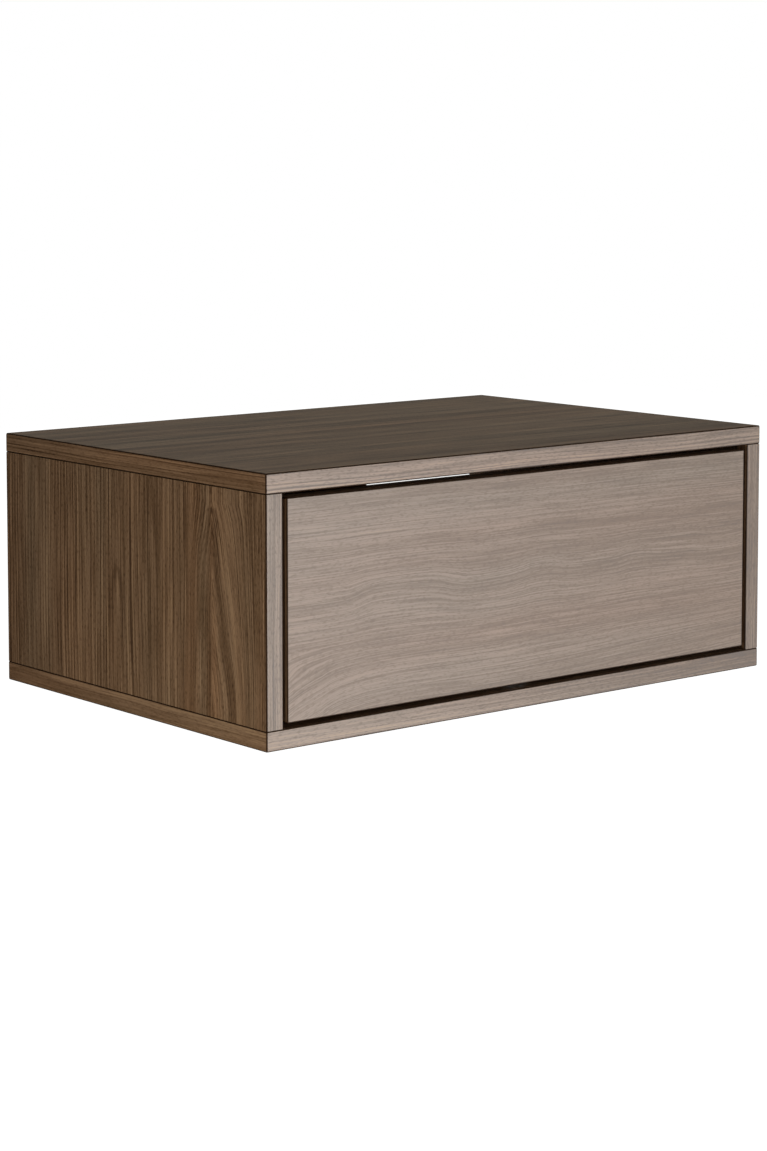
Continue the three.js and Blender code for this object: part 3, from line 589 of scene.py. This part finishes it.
front_low, front_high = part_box("drawer_front")
PLAIN_RIM = 0.018  # at the front's top: the curves over its height end below it
FRONT_WIDTH = (front_low.x, front_high.x)
FRONT_HEIGHT = (front_low.z, front_high.z - PLAIN_RIM)
ROLL = (-0.009, 0.015)  # that the crests move a line down and up
ROLL_SHARE = 0.55
RISE = (-0.026, 0.012)  # that the fan and the climb move a line down and up
FRONT_BAND_TONES = (-0.18, 0.19)


def front_figure(tree, along, ring, seed):
    """Long lines that roll over low crests at mid-height, a steep fan in the lower left corner
    and lines that climb to the right along the lower edge."""
    roll = curve_of(tree, along, FRONT_WIDTH, (
        (0, 0.32), (0.11, 0.36), (0.19, 0.85), (0.26, 0.8), (0.34, 0.3), (0.385, 0.12), (0.43, 0.16),
        (0.48, 0.36), (0.53, 0.56), (0.575, 0.34), (0.63, 0.26), (0.69, 0.3), (0.74, 0.5), (0.79, 0.38),
        (0.87, 0.26), (0.93, 0.12), (1, 0.24)), ROLL)
    roll_share = curve_of(tree, ring, FRONT_HEIGHT, (
        (0, 0.1), (0.25, 0.1), (0.45, 0.4), (0.58, 1), (0.68, 0.5), (0.82, 0.15), (1, 0.05)),
        (0, ROLL_SHARE))
    rise = curve_of(tree, along, FRONT_WIDTH, (
        (0, 0), (0.06, 0.35), (0.13, 0.62), (0.2, 0.68), (0.5, 0.68), (0.8, 0.85), (1, 1)), RISE)
    rise_share = curve_of(tree, ring, FRONT_HEIGHT, (
        (0, 1), (0.15, 0.85), (0.3, 0.3), (0.42, 0), (1, 0)), (0, 1))
    rolled = add_node(tree, "Math", {0: roll, 1: roll_share}, operation="MULTIPLY")
    risen = add_node(tree, "Math", {0: rise, 1: rise_share, 2: rolled.outputs[0]}, operation="MULTIPLY_ADD")
    lines = add_node(tree, "Math", {0: ring, 1: risen.outputs[0]}, operation="SUBTRACT").outputs[0]
    # the bands are wood tone, except over the front's upper part, where they are lifted: painted light that
    # makes up for the shade below the top board
    bands = curve_of(tree, lines, FRONT_HEIGHT, (
        (0, 0.5), (0.28, 0.42), (0.33, 0.3), (0.37, 0.52), (0.45, 0.62), (0.5, 0.4), (0.545, 0.36),
        (0.56, 0.18), (0.572, 0.12), (0.585, 0.7), (0.6, 0.62), (0.66, 0.42), (0.68, 0.66), (0.76, 0.62),
        (0.82, 0.45), (0.9, 0.68), (1, 0.6)), FRONT_BAND_TONES)
    return lines, bands, seed


# Plain woods

ROUGHNESS_SWING = 0.08  # smoother where the wood is light
WOOD_BUMP = 0.3


def plain_wood(name, seed, spots, stops, roughness):
    """A wood with soft streaks along the grain and a faint relief of the same streaks. Its spots hold half
    a wave across and along in mm, and a weight."""
    material, tree, output = new_material(name)
    uv = add_node(tree, "UVMap", uv_map="grain").outputs[0]
    tone = MID_TONE
    for place, (across_mm, along_mm, weight) in enumerate(spots):
        noise = spot_noise(tree, uv, (along_mm * MM, across_mm * MM, 1), detail=1.5,
                           start=(seed, place * LAYER_STEP, 0))
        tone = add_streaks(tree, tone, noise, weight)
    colour = add_node(tree, "ValToRGB", {0: tone})
    set_ramp(colour, stops)
    rough = add_node(tree, "MapRange", {"Value": tone, "To Min": roughness + ROUGHNESS_SWING,
                                        "To Max": roughness - ROUGHNESS_SWING})
    bump = add_node(tree, "Bump", {"Height": tone, "Strength": WOOD_BUMP, "Distance": FINE_RELIEF})
    shader = add_node(tree, "BsdfPrincipled", {
        "Base Color": colour.outputs[0], "Roughness": rough.outputs[0], "Normal": bump.outputs[0],
        "IOR": WOOD_IOR})
    tree.links.new(shader.outputs[0], output.inputs["Surface"])
    return material


PLY = 1.4 * MM
WAVER_PATCH = (0.04, 0.02, 1)
WAVER = 0.4 * MM  # that the plies bend to and fro
PLY_TURN = 0.25  # of the plies' wave, over which one ply gives way to the next
GLUE_WAVE = (0.12, 0.3)  # of the plies' wave, over which a glue line fades
GLUE_SHARE = 0.7
FLECK = (0.8 * MM, 0.8 * MM, 1)  # cut fibres are a tenth as wide, and would vanish
FLECK_LAYER = 4
RUN = (0.02, 0.5 * MM, 1)  # fibres that lie along the cut, drawn as coarse as they need to show
RUN_LAYER = 9
PLY_BUMP = 0.3
PLY_RELIEF = 0.1 * MM
PLY_ROUGHNESS = 0.62


def ply_edge(name, seed):
    """The cut edge of birch plywood: pale plies along the cut, darker end-grain plies between them, and thin
    dark glue lines."""
    material, tree, output = new_material(name)
    uv = add_node(tree, "UVMap", uv_map="grain").outputs[0]
    through = add_node(tree, "SeparateXYZ", {0: uv}).outputs[1]
    waver = spot_noise(tree, uv, WAVER_PATCH, detail=1.0, start=(seed, 0, 0))
    bent = add_node(tree, "Math", {0: waver, 1: WAVER, 2: through}, operation="MULTIPLY_ADD")
    phase = add_node(tree, "Math", {0: bent.outputs[0], 1: math.pi / PLY}, operation="MULTIPLY")
    wave = add_node(tree, "Math", {0: phase.outputs[0]}, operation="SINE").outputs[0]
    layer = add_node(tree, "MapRange", {"Value": wave, "From Min": -PLY_TURN, "From Max": PLY_TURN})
    near_glue = add_node(tree, "Math", {0: wave}, operation="ABSOLUTE")
    glue = add_node(tree, "MapRange", {
        "Value": near_glue.outputs[0], "From Min": GLUE_WAVE[0], "From Max": GLUE_WAVE[1],
        "To Min": GLUE_SHARE, "To Max": 0.0})
    flecks = spot_noise(tree, uv, FLECK, detail=1.0, start=(seed, 0, FLECK_LAYER))
    runs = spot_noise(tree, uv, RUN, detail=1.0, start=(seed, 0, RUN_LAYER))
    end_grain = add_node(tree, "ValToRGB", {0: flecks})
    set_ramp(end_grain, ((0.3, "#a47c50"), (0.7, "#c09a6c")))
    long_grain = add_node(tree, "ValToRGB", {0: runs})
    set_ramp(long_grain, ((0.3, "#cfae80"), (0.7, "#e2c69c")))
    plies = add_node(tree, "Mix", {"Factor": layer.outputs[0], "A": end_grain.outputs[0],
                                   "B": long_grain.outputs[0]}, data_type="RGBA")
    glued = add_node(tree, "Mix", {"Factor": glue.outputs[0], "A": plies.outputs["Result"],
                                   "B": linear("#7a5634")}, data_type="RGBA")
    bump = add_node(tree, "Bump", {"Height": flecks, "Strength": PLY_BUMP, "Distance": PLY_RELIEF})
    shader = add_node(tree, "BsdfPrincipled", {
        "Base Color": glued.outputs["Result"], "Roughness": PLY_ROUGHNESS, "Normal": bump.outputs[0],
        "IOR": WOOD_IOR})
    tree.links.new(shader.outputs[0], output.inputs["Surface"])
    return material


# Metal, plastic and rubber

MARK_STRETCH = (1, 30, 1)  # rolling marks run along Y
MARK_NOISE = (0.25, 0.75)
MARK_RELIEF = 0.05 * MM
CLOUD_MM = 6
MOULD_RELIEF = 0.1 * MM


def object_noise(tree, size_mm, detail=1.0, stretch=(1, 1, 1)):
    """Noise in the object's own metres, with spots of a size in mm stretched along some axes."""
    place = add_node(tree, "TexCoord").outputs["Object"]
    return spot_noise(tree, place, [size_mm * MM * share for share in stretch], detail)


def metal(name, stops, blotch_mm, scratch_mm, roughness, relief, share):
    """Bare or plated metal: a slow change of tint, fine rolling marks along Y in its roughness and relief.
    The share that is bare metal falls where a plating is milky. The marks are drawn several times as wide as
    real ones, so that they show."""
    material, tree, output = new_material(name)
    blotches = object_noise(tree, blotch_mm, detail=2.0)
    marks = object_noise(tree, scratch_mm, stretch=MARK_STRETCH)
    colour = add_node(tree, "ValToRGB", {0: blotches})
    set_ramp(colour, stops)
    rough = add_node(tree, "MapRange", {
        "Value": marks, "From Min": MARK_NOISE[0], "From Max": MARK_NOISE[1],
        "To Min": roughness[0], "To Max": roughness[1]})
    bump = add_node(tree, "Bump", {"Height": marks, "Strength": relief, "Distance": MARK_RELIEF})
    shader = add_node(tree, "BsdfPrincipled", {
        "Base Color": colour.outputs[0], "Metallic": share, "Roughness": rough.outputs[0],
        "Normal": bump.outputs[0]})
    tree.links.new(shader.outputs[0], output.inputs["Surface"])
    return material


def moulded(name, stops, grain_mm, roughness, relief):
    """Moulded plastic or rubber: a spark-eroded grain in relief and slightly cloudy colour. The grain is
    drawn several times as coarse as a real one, so that it shows."""
    material, tree, output = new_material(name)
    clouds = object_noise(tree, CLOUD_MM, detail=2.0)
    grain = object_noise(tree, grain_mm)
    colour = add_node(tree, "ValToRGB", {0: clouds})
    set_ramp(colour, stops)
    rough = add_node(tree, "MapRange", {"Value": grain, "To Min": roughness[0], "To Max": roughness[1]})
    bump = add_node(tree, "Bump", {"Height": grain, "Strength": relief, "Distance": MOULD_RELIEF})
    shader = add_node(tree, "BsdfPrincipled", {
        "Base Color": colour.outputs[0], "Roughness": rough.outputs[0], "Normal": bump.outputs[0]})
    tree.links.new(shader.outputs[0], output.inputs["Surface"])
    return material


# Pieces

BODIES = frame["record"]["behaviour"]["bodies"]
BODY_OF = {node: body for body, members in BODIES.items() for node in members}
SLOT_OF = {subpart["node"]: subpart["material_slot"] for subpart in frame["record"]["subparts"]}
MERGE_DISTANCE = 1e-6
FLAT_SEAM = math.radians(0.5)
BOARD_CREASE = 30
FITTING_CREASE = 35
LARGE_FACES = 100  # of 100: the largest faces at a corner set its normal


def stretch_spring(piece):
    """Keeps the latch's spring where it stands, with its placement baked into its points and no body to move
    it.
    """
    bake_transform(piece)


def place_piece(name, bm, materials, node):
    """Makes the finished piece from its faces: it stands for the node and moves with the node's body. The
    large faces stay flat, so that only the arrises look round."""
    piece = mesh_object(name, bm, materials)
    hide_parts(node)
    if node == "latch_spring":
        stretch_spring(piece)
    else:
        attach(piece, BODY_OF[node])
    weighted = piece.modifiers.new("face_normals", "WEIGHTED_NORMAL")
    weighted.weight = LARGE_FACES
    weighted.keep_sharp = True


def merged_copy(node, crease):
    """A node's faces with its doubles and flat seams merged, smooth up to a crease angle in degrees."""
    bm = bmesh.new()
    bm.from_mesh(frame["nodes"][node].data)
    bmesh.ops.remove_doubles(bm, verts=bm.verts, dist=MERGE_DISTANCE)
    bmesh.ops.dissolve_limit(bm, angle_limit=FLAT_SEAM, verts=bm.verts, edges=bm.edges)
    for face in bm.faces:
        face.smooth = True
    for edge in bm.edges:
        edge.smooth = edge.is_manifold and edge.calc_face_angle(0) < math.radians(crease)
    return bm


def size_of(node):
    """A node's width, depth and height."""
    low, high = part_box(node)
    return high - low


def longest_axis(node):
    """The axis that a plain wood's grain runs along."""
    size = size_of(node)
    return max(range(3), key=lambda axis: size[axis])


def fine_board(node, grain_axis, materials):
    """A board: its grain mapped, its faces in the first material and its edges in the last."""
    size = size_of(node)
    bm = merged_copy(node, BOARD_CREASE)
    map_grain(bm, grain_axis, size)
    for face in bm.faces:
        if facing_axis(face) != thin_axis(size):
            face.material_index = len(materials) - 1
    place_piece(node + "_board", bm, materials, node)


BAND_SEED = 43.3
BAND_WANDER = 2.0
BAND_CONTRAST = 0.7
BOARDS = (
    # node, grain axis, tones at the two ends of its edge bands,
    # seed, figure, wander of the grain, weights of the streaks, tones at the two ends, contrast
    ("top_panel", X_AXIS, (0.6, 0.48), 3.1, None, 4.0, FLAT_WEIGHTS, (0.6, 0.64), 1.0),
    ("bottom_panel", X_AXIS, (0.95, 0.15), 8.4, None, 4.0, FLAT_WEIGHTS, (0.58, 0.54), 1.0),
    ("side_panel_left", Z_AXIS, (0.5, 0.5), 12.7, side_figure, 3.0, UPRIGHT_WEIGHTS, (0.61, 0.595), 1.0),
    ("side_panel_right", Z_AXIS, (0.15, 0.54), 21.2, None, 4.0, UPRIGHT_WEIGHTS, (0.57, 0.57), 1.0),
    ("drawer_front", X_AXIS, (0.58, 0.5), 34.6, front_figure, 0.8, FRONT_WEIGHTS, (0.6, 0.37), 0.4),
)
for node, grain_axis, band_tones, seed, *looks in BOARDS:
    face = walnut_veneer(node + "_walnut", seed, *looks)
    band = walnut_veneer(node + "_band", seed + BAND_SEED, None, BAND_WANDER, UPRIGHT_WEIGHTS, band_tones,
                         BAND_CONTRAST)
    fine_board(node, grain_axis, [face, band])

# Sanded birch plywood of the drawer box: pale, with broad soft streaks and short flecks
birch_face = plain_wood(
    "birch_face", seed=5.5, spots=((14, 600, 0.5), (2.5, 160, 0.6), (1.0, 9, 0.5)),
    stops=((0.2, "#b8935f"), (0.45, "#ceac7c"), (0.6, "#d6b688"), (0.85, "#e2c79e")), roughness=0.5)
birch_edge = ply_edge("birch_edge", seed=2.0)
# Raw plywood of the cleats: browner, more streaked and dull
raw_face = plain_wood(
    "raw_ply_face", seed=15.5, spots=((18, 500, 0.7), (3.0, 120, 0.7), (1.0, 7, 0.7)),
    stops=((0.2, "#9f7b4d"), (0.45, "#b99566"), (0.6, "#c4a172"), (0.85, "#d3b58a")), roughness=0.7)
raw_edge = ply_edge("raw_ply_edge", seed=7.0)
# Thin walnut board of the back: dark brown with long fine streaks, and dull without a lacquer
thin_walnut = plain_wood(
    "thin_walnut_board", seed=9.5, spots=((20, 900, 0.6), (3.0, 400, 0.8), (1.2, 60, 0.8)),
    stops=((0.2, "#4b3623"), (0.45, "#66492f"), (0.6, "#725439"), (0.85, "#86694c")), roughness=0.6)
# Beech of the dowels: pinkish brown with short dark flecks
beech_wood = plain_wood(
    "fluted_beech", seed=3.5, spots=((2.0, 60, 0.6), (0.7, 3, 0.6)),
    stops=((0.2, "#a87a4c"), (0.5, "#c59a6a"), (0.8, "#d5ae80")), roughness=0.65)
WOODS = {
    "birch_ply": [birch_face, birch_edge],
    "cleat_ply": [raw_face, raw_edge],
    "walnut_back": [thin_walnut],
    "beech": [beech_wood],
}
FITTINGS = {
    # Rolled steel under zinc plating: bluish grey, a little milky, with faint marks
    "zinc_steel": metal(
        "zinc_plated_steel", stops=((0.3, "#9da3a8"), (0.5, "#b4b8bb"), (0.7, "#c0c1bd")),
        blotch_mm=25, scratch_mm=0.4, roughness=(0.3, 0.46), relief=0.12, share=0.7),
    # Zinc cast in a die: darker and duller than plating, with a rougher skin
    "cast_zinc": metal(
        "die_cast_zinc", stops=((0.3, "#8a8c8f"), (0.7, "#a4a6a9")),
        blotch_mm=8, scratch_mm=0.5, roughness=(0.42, 0.6), relief=0.3, share=0.7),
    # Polished steel: bright and nearly clear in its reflections
    "bearing_steel": metal(
        "bright_bearing_steel", stops=((0.3, "#c4c6ca"), (0.7, "#d9dadc")),
        blotch_mm=10, scratch_mm=0.3, roughness=(0.12, 0.24), relief=0.05, share=0.9),
    # Moulded plastic: mid grey with a fine even grain
    "grey_plastic": moulded(
        "grey_moulded_plastic", stops=((0.3, "#727476"), (0.7, "#7e8082")),
        grain_mm=0.3, roughness=(0.45, 0.6), relief=0.25),
    # Moulded rubber: nearly black and dull
    "black_rubber": moulded(
        "soft_black_rubber", stops=((0.3, "#19191a"), (0.7, "#222223")),
        grain_mm=0.25, roughness=(0.7, 0.85), relief=0.3),
}
for node, slot_name in SLOT_OF.items():
    if slot_name in WOODS:
        fine_board(node, longest_axis(node), WOODS[slot_name])
    elif slot_name in FITTINGS:
        place_piece(node + "_fitting", merged_copy(node, FITTING_CREASE), [FITTINGS[slot_name]], node)

scene.view_settings.view_transform = "Standard"
